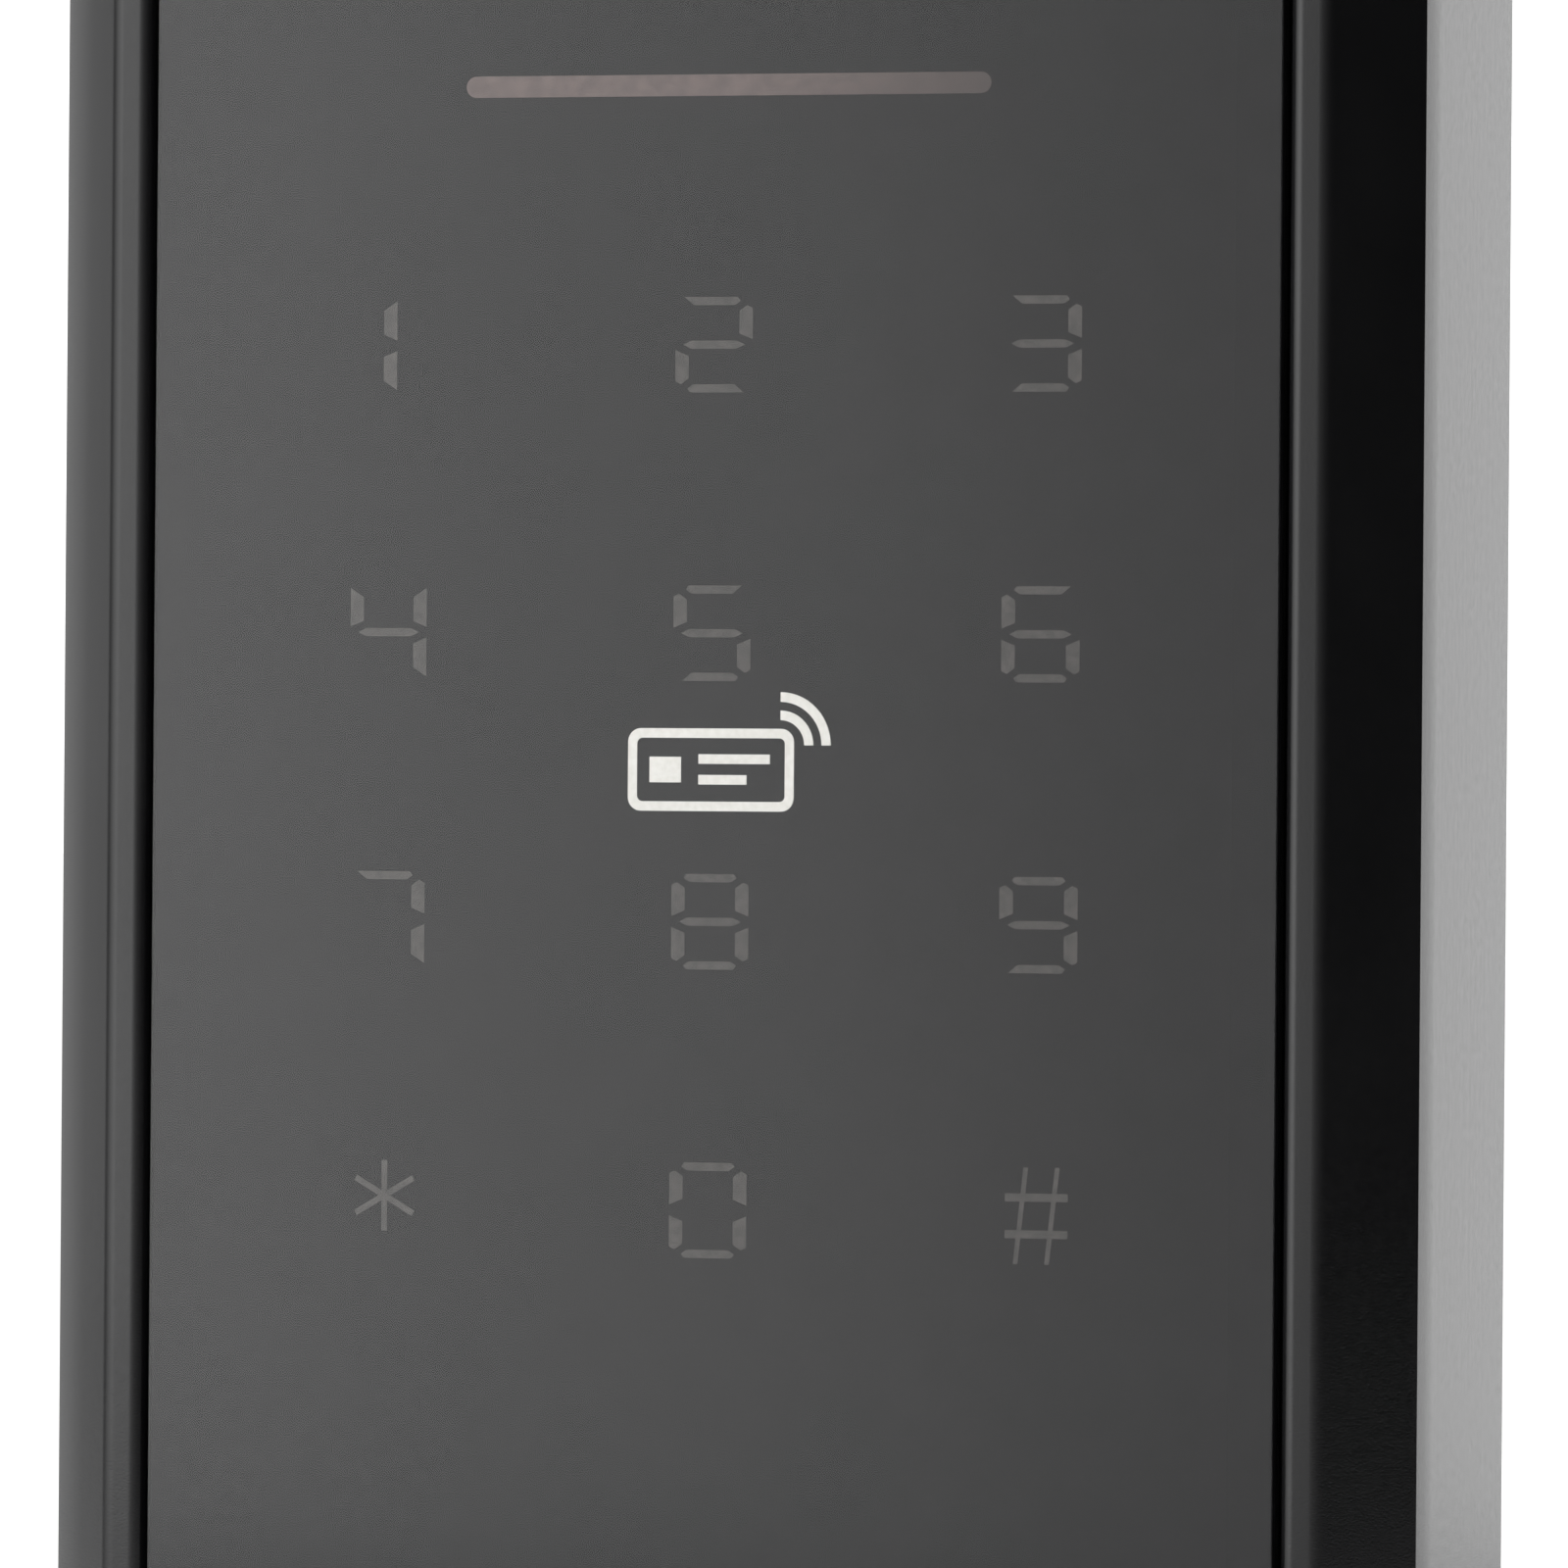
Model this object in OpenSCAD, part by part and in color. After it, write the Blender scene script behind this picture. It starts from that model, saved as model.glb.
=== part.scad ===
// Wall-mounted card reader with a touch keypad behind smoked glass.
// X runs across the face, Z up, and the face looks along -Y. The wall is the plane y = 0.
// Depths are distances from the wall, so a depth of 5 is the plane y = -5.

/* [Housing] */
// Width across the flanks
body_w = 75; // [73:0.5:80]
// Height of the housing
body_h = 120; // [120:0.5:128]
// Depth from the wall to the face
body_d = 21.4; // [21:0.1:22]
// Corner radius seen from the front
corner_r = 7; // [6.5:0.1:8]
// Thickness of the frame's outer wall
wall_t = 1.8; // [1.5:0.1:2]
// How far the bevel runs in from the flank
bevel_w = 4.3; // [4:0.1:4.6]
// How far the bevel runs back from the face
bevel_d = 3.9; // [3.5:0.1:4.2]
// Width of the raised ridge round the glass
ridge_w = 2.08; // [1.8:0.01:2.2]
// Open gap between the ridge and the glass
glass_gap = 0.26; // [0.2:0.01:0.5]

/* [Keypad] */
// Key pitch across
key_pitch_x = 17.9; // [17:0.1:19]
// Key pitch up
key_pitch_z = 15; // [14:0.1:15.5]
// Height of the keypad's centre from the housing's centre
keypad_z = -2; // [-3:0.5:0]
// Width of a numeral
digit_w = 4.24; // [3.6:0.02:4.6]
// Height of a numeral
digit_h = 4.97; // [4.4:0.01:5.4]
// Thickness of a numeral's upright strokes
upright_t = 0.74; // [0.5:0.02:0.9]
// Thickness of a numeral's level strokes
level_t = 0.43; // [0.3:0.01:0.6]
// Height of the light bar above the top row of keys
bar_rise = 13.5; // [12:0.1:14]
// How far the light bar sits to the right of the middle
bar_x = 0.63; // [-1:0.01:1]
// Length of the light bar
bar_l = 28.8; // [24:0.1:32]
// Height of the light bar
bar_h = 1.12; // [0.8:0.02:1.6]

/* [Card mark] */
// Width of the card outline
mark_w = 9.1; // [8:0.1:10]
// Height of the card outline
mark_h = 4.3; // [4:0.1:5]
// How far the mark sits to the right of the middle
mark_x = 0.18; // [-1:0.01:1]
// Thickness of the mark's lines
mark_t = 0.5; // [0.4:0.02:0.6]

/* [Wall mounting] */
// Distance between the upright pair of wall screws
upright_spacing = 83.3; // [80:0.1:84]
// Distance between the level pair of wall screws
level_spacing = 60.3; // [58:0.1:61]
// Diameter of a wall screw hole
wall_hole_d = 4.2; // [3.5:0.1:4.5]
// Width of the cable opening
cable_w = 34; // [30:1:38]
// Height of the cable opening
cable_h = 23; // [20:1:24]

/* [Hidden] */
$fn = 96;

// Gaps between pieces
fit = 0.02;
loose = 0.3;

// Depth of each layer's near and far face, from the wall out
plate_t = 2;
rim_d = 4.4;
skirt_d = 1.2;
cover_back = 5;
cover_front = 6.8;
seal_front = 7.4;
seat_front = 9.2;
board_back = 12.3;
board_front = 13.9;
ledge_back = body_d - 2.9;
glass_t = 0.55;
glass_back = body_d - glass_t;
film_back = glass_back - 0.2;
diffuser_back = film_back - 0.4;
copper_back = diffuser_back - 0.1;
sensor_back = copper_back - 1;
tape_back = glass_back - 0.3;
mark_depth = 0.1;
groove_back = body_d - 2.2;

// Outlines seen from the front
glass_w = body_w - 2 * (bevel_w + ridge_w + glass_gap);
glass_h = body_h - 2 * (bevel_w + ridge_w + glass_gap);
glass_r = max(0.4, corner_r - bevel_w - ridge_w - glass_gap);
recess_r = max(0.6, corner_r - bevel_w - ridge_w);
window_w = glass_w - 4;
window_h = glass_h - 4;
inner_w = body_w - 2 * wall_t;
inner_h = body_h - 2 * wall_t;
inner_r = corner_r - wall_t;
inner_top = inner_h / 2;
front_inset = bevel_w - 0.2;
front_w = body_w - 2 * front_inset;

// The rib that closes the electronics off from the screw's compartment
rib_top = 8.8 - body_h / 2;
rib_t = 1.5;
rib_z = rib_top - rib_t / 2;
seat_w = 2.1;

// Keypad
key_cols = [-1, 0, 1];
key_rows = [1.5, 0.5, -0.5, -1.5];
half_keypad = 1.5 * key_pitch_z;
bar_z = keypad_z + half_keypad + bar_rise;
mark_z = keypad_z + 0.5 * key_pitch_z - 7.1;
chamber_w = 11;
chamber_h = 10;
box_w = 47;
box_low = keypad_z - half_keypad - chamber_h / 2 - 1;
box_high = bar_z + 4;
sensor_high = box_high + 6;
link_z = box_high + 3;

// Top hinge: pins on the frame rest in hooks on the wall plate
hinge_d = 2.8;
hinge_z = body_h / 2 - 3;
pin_r = 0.9;
hook_bore_r = pin_r + 0.05;
hook_r = 1.8;
hook_x = 20;
hook_w = 8;
cheek_t = 1.5;

// Bottom lock: a screw through a slotted tab
lock_d = 7.5;
lock_floor = -inner_top;
tab_t = 1.5;
tab_z = lock_floor + 0.45;
tab_w = 12;
tab_reach = 10.5;
screw_r = 1.5;
holder_z = tab_z + tab_t + 0.35;
holder_lip = 0.8;
nut_w = 5.5;
nut_t = 2.3;

// Frame fixings
boss_r = 3.2;
boss_x = body_w / 2 - 8;
boss_z = [body_h / 2 - 10.5, rib_top + 6.7];
insert_r = 2;
cover_screw_r = 1.25;
post_r = 1.8;
post_x = body_w / 2 - 6.5;
post_z = [28, -30];
board_screw_r = 1;

// Wall plate
plate_w = body_w - 2 * wall_t - 1.6;
plate_top = hinge_z - 2.6;
plate_low = lock_floor + 0.8;
plate_h = plate_top - plate_low;
plate_z = (plate_top + plate_low) / 2;
rim_t = 1.6;
cable_z = -20.5;

// Switches
tamper_x = -22;
tamper_z = 30;
plunger_r = 1.5;
collar_r = 2.4;
tamper_travel = 2;
reset_x = 0;
reset_z = 28;
button_r = 1.6;
guide_r = 3.2;

// Terminal block
poles = 8;
pole_pitch = 3.5;
block_w = poles * pole_pitch + 0.8;
block_h = 10;
block_top = 4;
block_z = -20;

// Digits as lit strokes: top, upper right, lower right, bottom, lower left, upper left, middle
digit_strokes = [
    [0, 1, 1, 0, 0, 0, 0], [1, 1, 0, 1, 1, 0, 1], [1, 1, 1, 1, 0, 0, 1],
    [0, 1, 1, 0, 0, 1, 1], [1, 0, 1, 1, 0, 1, 1], [1, 0, 1, 1, 1, 1, 1],
    [1, 1, 1, 0, 0, 0, 0], [1, 1, 1, 1, 1, 1, 1], [1, 1, 1, 1, 0, 1, 1],
    [], [1, 1, 1, 1, 1, 1, 0], []];

// ---- Shared shapes ----

// Extrudes an outline drawn in X and Z from depth a out to depth b
module layer(a, b) {
    translate([0, -a, 0]) rotate([90, 0, 0]) linear_extrude(b - a) children();
}

// A round bar along the depth, centred on x and z
module rod(x, z, r, a, b) {
    translate([x, -a, z]) rotate([90, 0, 0]) cylinder(h = b - a, r = r);
}

// A box centred on x and z, from depth a out to depth b
module brick(x, z, w, h, a, b) {
    translate([x - w / 2, -b, z - h / 2]) cube([w, b - a, h]);
}

module round_rect(w, h, r) {
    square([w, h - 2 * r], center = true);
    square([w - 2 * r, h], center = true);
    for (x = [-1, 1], z = [-1, 1])
        translate([x * (w / 2 - r), z * (h / 2 - r)]) circle(r = r);
}

// A rounded block whose edge slopes in from depth a to depth b
module bevel_block(w, h, r, inset, a, b) {
    half_w = w / 2;
    half_h = h / 2;
    linear_extrude(h - 2 * r, center = true)
        polygon([[-half_w, -a], [half_w, -a], [half_w - inset, -b], [inset - half_w, -b]]);
    rotate([0, 90, 0]) linear_extrude(w - 2 * r, center = true)
        polygon([[-half_h, -a], [half_h, -a], [half_h - inset, -b], [inset - half_h, -b]]);
    for (x = [-1, 1], z = [-1, 1])
        translate([x * (half_w - r), -a, z * (half_h - r)]) rotate([90, 0, 0])
            cylinder(h = b - a, r1 = r, r2 = r - inset);
}

// Places its children at each of four fixing points
module at_four(x, zs) {
    for (side = [-1, 1], z = zs)
        translate([side * x, 0, z]) children();
}

// Places its children at each key
module at_keys() {
    for (row = key_rows, col = key_cols)
        translate([col * key_pitch_x, 0, keypad_z + row * key_pitch_z]) children();
}

// ---- Keypad outlines ----

// The upper right stroke. A free end is cut on a long slant, a joined one is rounded off
module upright_stroke(free) {
    reach = digit_h / 2 - (free ? 0.17 : level_t);
    low = 0.28;
    slant = 0.3;
    outer = digit_w / 2;
    inner = outer - upright_t;
    tip = free ? [[outer, reach], [inner, reach - 1.6 * slant]]
        : [[outer, reach - slant / 2], [outer - slant, reach], [inner, reach - slant]];
    polygon(concat([[inner, low + slant], [outer, low]], tip));
}

// The top stroke. Each end is pointed where it joins an upright, or else cut on a slant
module level_stroke(left_free, right_free) {
    half_l = 0.345 * digit_w;
    half_t = level_t / 2;
    point = 0.34;
    right = right_free ? [[half_l - point, -half_t], [half_l + point / 2, half_t]]
        : [[half_l - point, -half_t], [half_l, 0], [half_l - point / 2, half_t]];
    left = left_free ? [[-half_l - point / 2, half_t], [point - half_l, -half_t]]
        : [[point / 2 - half_l, half_t], [-half_l, 0], [point - half_l, -half_t]];
    polygon(concat(right, left));
}

module middle_stroke() {
    half_l = 0.4 * digit_w;
    half_t = level_t / 2;
    point = 0.45;
    polygon([[-half_l, 0], [point - half_l, half_t], [half_l - point, half_t],
        [half_l, 0], [half_l - point, -half_t], [point - half_l, -half_t]]);
}

module digit(lit) {
    level_z = (digit_h - level_t) / 2;
    if (lit[0]) translate([0, level_z]) level_stroke(!lit[5], !lit[1]);
    if (lit[1]) upright_stroke(!lit[0]);
    if (lit[2]) mirror([0, 1]) upright_stroke(!lit[3]);
    if (lit[3]) translate([0, -level_z]) mirror([0, 1]) level_stroke(!lit[4], !lit[2]);
    if (lit[4]) mirror([0, 1]) mirror([1, 0]) upright_stroke(!lit[3]);
    if (lit[5]) mirror([1, 0]) upright_stroke(!lit[0]);
    if (lit[6]) middle_stroke();
}

module star() {
    for (turn = [0, 60, -60])
        translate([0, 0.5]) rotate(turn) square([0.32, 3.7], center = true);
}

module hash() {
    lean = 0.55;
    for (x = [-0.85, 0.85])
        translate([x, 0])
            polygon([[-lean / 2 - 0.13, -2.5], [0.13 - lean / 2, -2.5],
                [lean / 2 + 0.13, 2.5], [lean / 2 - 0.13, 2.5]]);
    for (z = [-0.95, 0.95])
        translate([0, z]) square([3.4, 0.42], center = true);
}

module legend(index) {
    if (index == 0) translate([(upright_t - digit_w) / 2, 0]) digit(digit_strokes[0]);
    else if (index == 9) star();
    else if (index == 11) hash();
    else digit(digit_strokes[index]);
}

module all_legends() {
    for (row = [0:3], col = [0:2])
        translate([(col - 1) * key_pitch_x, keypad_z + (1.5 - row) * key_pitch_z])
            legend(row * 3 + col);
}

module bar_outline() {
    translate([bar_x, bar_z]) {
        square([bar_l - bar_h, bar_h], center = true);
        for (side = [-1, 1])
            translate([side * (bar_l - bar_h) / 2, 0]) circle(d = bar_h);
    }
}

// One radio wave: a quarter ring that opens up and to the right
module wave(r) {
    intersection() {
        difference() {
            circle(r = r);
            circle(r = r - mark_t);
        }
        square(r);
    }
}

// A card outline with its chip and two rules, and the waves at its corner
module mark_outline() {
    chip_x = -0.275 * mark_w;
    rule_x = 0.5 - 0.13 * mark_w;
    rules = [[0.13 * mark_h, 0.43 * mark_w], [-0.12 * mark_h, 0.29 * mark_w]];
    translate([mark_x, mark_z]) {
        difference() {
            round_rect(mark_w, mark_h, 0.72);
            round_rect(mark_w - 2 * mark_t, mark_h - 2 * mark_t, 0.3);
        }
        translate([chip_x, 0]) square([0.19 * mark_w, 0.31 * mark_h], center = true);
        for (rule = rules)
            translate([rule_x, rule[0] - mark_t / 2]) square([rule[1], mark_t]);
        translate([mark_w / 2 - 0.75, mark_h / 2 - 0.85]) {
            wave(2.75);
            wave(1.8);
        }
    }
}

// ---- Wall side ----

module wall_screw_holes() {
    for (z = [-1, 1])
        rod(0, z * upright_spacing / 2, wall_hole_d / 2, -1, rim_d);
    for (x = [-1, 1])
        rod(x * level_spacing / 2, 0, wall_hole_d / 2, -1, rim_d);
}

module gasket_ring(slack) {
    gasket_w = 1.3;
    translate([0, plate_z]) difference() {
        round_rect(plate_w - 2 + slack, plate_h - 2 + slack, 3);
        round_rect(plate_w - 2 - 2 * gasket_w - slack, plate_h - 2 - 2 * gasket_w - slack, 1);
    }
}

// A hook that a pin drops into from above
module hook() {
    difference() {
        union() {
            rotate([0, 90, 0]) cylinder(h = hook_w, r = hook_r, center = true);
            translate([-hook_w / 2, hook_bore_r - hook_r, plate_top - hinge_z - 1])
                cube([hook_w, hinge_d - hook_bore_r + hook_r, 2]);
        }
        rotate([0, 90, 0]) cylinder(h = hook_w + 1, r = hook_bore_r, center = true);
        translate([-hook_w, -hook_bore_r, 0]) cube([2 * hook_w, 3 * hook_r, 2 * hook_r]);
        rotate([20, 0, 0]) translate([-hook_w, -2 * hook_r, 0])
            cube([2 * hook_w, 2 * hook_r, 2 * hook_r]);
    }
}

module lock_tab() {
    difference() {
        translate([-tab_w / 2, -tab_reach, tab_z]) cube([tab_w, tab_reach - plate_t / 2, tab_t]);
        translate([-screw_r - loose, -tab_reach - 1, tab_z - 1])
            cube([2 * (screw_r + loose), tab_reach - lock_d + 1, tab_t + 2]);
        translate([0, -lock_d, tab_z - 1]) cylinder(h = tab_t + 2, r = screw_r + loose);
    }
}

module wall_plate() {
    color("#3a3c3f") {
        difference() {
            layer(0, plate_t) translate([0, plate_z]) round_rect(plate_w, plate_h, 4);
            layer(-1, 1) gasket_ring(0.2);
            wall_screw_holes();
            brick(0, cable_z, cable_w, cable_h, -1, rim_d);
            brick(tamper_x, tamper_z, 7, 7, -1, rim_d);
        }
        layer(plate_t - 0.5, rim_d) translate([0, plate_z]) difference() {
            round_rect(plate_w, plate_h, 4);
            round_rect(plate_w - 2 * rim_t, plate_h - 2 * rim_t, 4 - rim_t);
            for (side = [-1, 1])
                translate([side * hook_x, plate_h / 2]) square([hook_w + 5, 8], center = true);
            translate([0, -plate_z]) square([plate_w + 2, 10], center = true);
        }
        for (side = [-1, 1])
            translate([side * hook_x, -hinge_d, hinge_z]) hook();
        lock_tab();
    }
}

module wall_gasket() {
    color("#1d1d1e") layer(0, 1) gasket_ring(0);
}

// ---- Housing ----

// The cover's outline: round corners above, square where it meets the rib
module cover_outline(inset) {
    low = rib_top + inset;
    high = inner_top - inset;
    half_w = inner_w / 2 - inset;
    r = max(0.8, inner_r - inset);
    translate([-half_w, low]) square([2 * half_w, high - r - low]);
    translate([r - half_w, low]) square([2 * (half_w - r), high - low]);
    for (side = [-1, 1])
        translate([side * (half_w - r), high - r]) circle(r = r);
}

module recess_outline() {
    round_rect(glass_w + 2 * glass_gap, glass_h + 2 * glass_gap, recess_r);
}

// The hollow behind, the seat for the glass and the dark groove round it
module frame_hollows() {
    layer(-1, cover_front) round_rect(inner_w, inner_h, inner_r);
    layer(cover_front - 1, ledge_back - 2.5) round_rect(inner_w, inner_h, inner_r);
    layer(cover_front, ledge_back)
        round_rect(front_w, body_h - 2 * front_inset, corner_r - front_inset);
    layer(ledge_back - 1, body_d + 1) round_rect(window_w, window_h, 1);
    layer(tape_back, body_d + 1) recess_outline();
    layer(groove_back, body_d + 1) difference() {
        recess_outline();
        round_rect(glass_w - 0.4, glass_h - 0.4, glass_r);
    }
}

// The pins that hang in the wall plate's hooks, each between two cheeks
module hinge_pins() {
    span = hook_w + 2 * loose;
    drop = inner_top - hinge_z + pin_r;
    for (side = [-1, 1]) translate([side * hook_x, -hinge_d, hinge_z]) {
        rotate([0, 90, 0]) cylinder(h = span + 2 * cheek_t, r = pin_r, center = true);
        for (end = [-1, 1])
            translate([end * (span + cheek_t) / 2 - cheek_t / 2, -1.2, -pin_r])
                cube([cheek_t, 2.4, drop + wall_t / 2]);
    }
}

// Holds the square nut above the tab, open towards the wall
module nut_holder() {
    side_t = 1.5;
    translate([-nut_w / 2 - side_t, -lock_d - nut_w / 2 - side_t, holder_z])
        cube([nut_w + 2 * side_t, nut_w + side_t, rib_top - rib_t - holder_z + 0.5]);
}

module nut_slot() {
    w = nut_w + 0.1;
    translate([-w / 2, -lock_d - w / 2, holder_z + holder_lip])
        cube([w, w + 5, nut_t + 0.1]);
    translate([0, -lock_d, holder_z - 1]) cylinder(h = 6, r = screw_r + 0.15);
}

module lock_screw_hole() {
    translate([0, -lock_d, -body_h / 2]) {
        translate([0, 0, -1]) cylinder(h = wall_t + 2, r = screw_r + 0.15);
        translate([0, 0, -0.01]) cylinder(h = 1.31, r1 = 2.91, r2 = screw_r + 0.1);
    }
}

module front_frame() {
    color("#4a4c4f") {
        difference() {
            union() {
                layer(skirt_d, body_d - bevel_d) round_rect(body_w, body_h, corner_r);
                bevel_block(body_w, body_h, corner_r, bevel_w, body_d - bevel_d, body_d);
            }
            frame_hollows();
            lock_screw_hole();
        }
        difference() {
            layer(seal_front, seat_front) cover_outline(-0.5);
            layer(seal_front - 1, seat_front + 1) cover_outline(seat_w);
        }
        difference() {
            union() {
                brick(0, rib_z, inner_w + wall_t, rib_t, cover_back, ledge_back - 2.5);
                brick(0, rib_z, front_w + 0.5, rib_t, cover_back, ledge_back + 0.5);
                nut_holder();
            }
            nut_slot();
        }
        hinge_pins();
        at_four(boss_x, boss_z) difference() {
            rod(0, 0, boss_r, cover_front, ledge_back + 0.5);
            rod(0, 0, insert_r + fit, cover_front - 1, cover_front + 7);
        }
        at_four(post_x, post_z) difference() {
            rod(0, 0, post_r, board_front, ledge_back + 0.5);
            rod(0, 0, board_screw_r + fit, board_front - 1, board_front + 3);
        }
    }
}

module touch_panel() {
    color("#26282b") difference() {
        layer(glass_back, body_d) round_rect(glass_w, glass_h, glass_r);
        layer(body_d - mark_depth, body_d + 1) mark_outline();
    }
}

module card_mark() {
    color("#ecebe6") layer(body_d - mark_depth, body_d) mark_outline();
}

module panel_adhesive() {
    color("#161617") layer(tape_back, glass_back) difference() {
        round_rect(glass_w - 0.8, glass_h - 0.8, 0.4);
        round_rect(window_w + fit, window_h + fit, 1);
    }
}

// ---- Behind the glass ----

module legend_mask() {
    color("#1a1b1d") layer(film_back, glass_back) difference() {
        round_rect(window_w - fit, window_h - fit, 1);
        all_legends();
        bar_outline();
    }
}

module key_legends() {
    color("#8d8583") layer(film_back, glass_back) all_legends();
}

module light_bar_lens() {
    color("#968c89") layer(film_back, glass_back) bar_outline();
}

module sensor_outline() {
    low = box_low - 2;
    translate([0, (low + sensor_high) / 2])
        square([window_w - 1, sensor_high - low], center = true);
}

module light_windows() {
    for (row = key_rows, col = key_cols)
        translate([col * key_pitch_x, keypad_z + row * key_pitch_z])
            square([6, 6.4], center = true);
    translate([bar_x, bar_z]) square([bar_l + 1, 2.6], center = true);
}

module diffuser_sheet() {
    color("#e4e4df") layer(diffuser_back, film_back) sensor_outline();
}

module touch_electrodes() {
    color("#b87a45") layer(copper_back, diffuser_back) for (row = key_rows, col = key_cols)
        translate([col * key_pitch_x, keypad_z + row * key_pitch_z]) difference() {
            round_rect(13, 12, 2);
            square([7, 7.4], center = true);
        }
}

module touch_board() {
    color("#22402c") layer(sensor_back, copper_back) difference() {
        sensor_outline();
        light_windows();
    }
}

module key_light_box() {
    color("#f2f2ee") layer(board_front, sensor_back) difference() {
        translate([0, (box_low + box_high) / 2])
            square([box_w, box_high - box_low], center = true);
        for (row = key_rows, col = key_cols)
            translate([col * key_pitch_x * 0.93, keypad_z + row * key_pitch_z])
                square([chamber_w, chamber_h], center = true);
        translate([bar_x, bar_z]) square([bar_l + 2, 5], center = true);
    }
}

module coil_ring(half_w, ring_w) {
    coil_low = box_low - 4;
    coil_high = box_high + 8;
    translate([0, (coil_low + coil_high) / 2]) difference() {
        round_rect(2 * half_w, coil_high - coil_low, 4);
        round_rect(2 * (half_w - ring_w), coil_high - coil_low - 2 * ring_w, 4 - ring_w * 0.8);
    }
}

module antenna_coil() {
    color("#a3572b") layer(ledge_back - 2.3, ledge_back - 0.3) coil_ring(28.3, 2.5);
}

module ferrite_sheet() {
    color("#3b3a3d") layer(ledge_back - 2.9, ledge_back - 2.4) coil_ring(28.8, 3.4);
}

module key_leds() {
    color("#f0e6b8") at_keys() brick(0, 0, 2, 1.3, board_front, board_front + 0.8);
}

module bar_leds() {
    color("#d9eef0") for (place = [-1.5:1:1.5])
        brick(bar_x + place * bar_l / 4, bar_z, 2, 1.3, board_front, board_front + 0.8);
}

module main_board() {
    low = rib_top + seat_w + 0.3;
    high = inner_top - seat_w - 0.3;
    color("#1f5135") difference() {
        brick(0, (low + high) / 2, inner_w - 2 * seat_w - 0.8, high - low, board_back, board_front);
        at_four(boss_x, boss_z) rod(0, 0, boss_r + loose, board_back - 1, board_front + 1);
        at_four(post_x, post_z) rod(0, 0, board_screw_r + 0.1, board_back - 1, board_front + 1);
    }
}

// ---- On the main board, on the side that faces the wall ----

// A flat chip with gull-wing legs along all four sides
module controller_chip() {
    chip_w = 10;
    leg_pitch = 0.8;
    translate([-12, 0, 14]) {
        color("#202124") brick(0, 0, chip_w, chip_w, board_back - 1.5, board_back - 0.1);
        color("#b9bcc0") for (turn = [0:90:270], leg = [-5:5])
            rotate([0, turn, 0])
                brick(leg * leg_pitch, chip_w / 2 + 0.45, 0.35, 1.1, board_back - 0.5, board_back);
    }
}

module reader_chip() {
    color("#202124") brick(9, 14, 5, 5, board_back - 0.9, board_back);
}

module crystal() {
    color("#c3c6ca") translate([18, 0, 14]) layer(board_back - 1.5, board_back)
        round_rect(3.4, 8, 1.6);
}

module door_relay() {
    color("#e1ddd2") translate([22, 0, -5]) {
        brick(0, 0, 7.4, 15, board_back - 5.1, board_back - 0.3);
        for (x = [-1, 1], z = [-6, -2, 2, 6])
            brick(x * 3.2, z, 0.5, 0.6, board_back - 0.5, board_back);
    }
}

module capacitors() {
    color("#aeb2b7") for (place = [[-24, -8], [-24, -34], [6, -38]]) {
        rod(place[0], place[1], 3.1, board_back - 5, board_back - 0.8);
        brick(place[0], place[1], 6.6, 6.6, board_back - 1, board_back);
    }
}

module power_coil() {
    color("#4b4846") difference() {
        brick(-22, -21, 7, 7, board_back - 4, board_back);
        rod(-22, -21, 2.6, board_back - 5, board_back - 3.7);
    }
}

module buzzer() {
    color("#17181a") difference() {
        rod(16, 38, 6, board_back - 4.9, board_back);
        rod(16, 38, 1.1, board_back - 6, board_back - 3.5);
    }
}

module board_link() {
    color("#191a1c") brick(0, link_z, 16, 2.8, board_front, sensor_back);
}

module at_poles(z) {
    for (pole = [0:poles - 1])
        translate([(pole - (poles - 1) / 2) * pole_pitch, 0, block_z + z]) children();
}

module terminal_block() {
    color("#2f7f4f") difference() {
        brick(0, block_z, block_w, block_h, block_top, board_back);
        at_poles(2.4) rod(0, 0, 1.35, block_top - 1, block_top + 3.5);
        at_poles(-2.2) brick(0, 0, 2.3, 2.6, block_top - 1, block_top + 5);
    }
}

module terminal_screws() {
    color("#c9ccd0") at_poles(2.4) difference() {
        rod(0, 0, 1.3, block_top + 0.9, block_top + 3.5);
        brick(0, 0, 2.8, 0.4, block_top, block_top + 1.5);
    }
}

module tamper_switch() {
    color("#23262b") difference() {
        brick(tamper_x, tamper_z, 6.4, 6.4, board_back - 4.6, board_back);
        rod(tamper_x, tamper_z, collar_r + 0.1, board_back - 6, board_back - 0.3);
    }
}

// The return spring, as its coils lie when the plunger is pressed in
module tamper_spring() {
    wire_r = 0.22;
    turns = 4;
    low = board_back - 0.3 - wire_r;
    step = 0.5;
    color("#c5c8cc") for (turn = [0:turns - 1])
        translate([tamper_x, -low + turn * step, tamper_z]) rotate([90, 0, 0])
            rotate_extrude() translate([1.9, 0]) circle(r = wire_r);
}

module reset_switch() {
    color("#2a2d31") difference() {
        brick(reset_x, reset_z, 6, 6, board_back - 3.2, board_back);
        rod(reset_x, reset_z, 1.15, board_back - 4, board_back - 1.8);
    }
}

module board_screws() {
    color("#b4b7bb") at_four(post_x, post_z) difference() {
        union() {
            rod(0, 0, 1.8, board_back - 1.2, board_back);
            rod(0, 0, board_screw_r, board_back - 0.5, board_front + 2.4);
        }
        rod(0, 0, 0.75, board_back - 2, board_back - 0.5, $fn = 6);
    }
}

// ---- Back ----

module sound_holes() {
    for (turn = [0:60:300])
        translate([16, 0, 38]) rotate([0, turn, 0]) rod(2.6, 0, 0.6, cover_back - 1, cover_front + 1);
}

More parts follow.
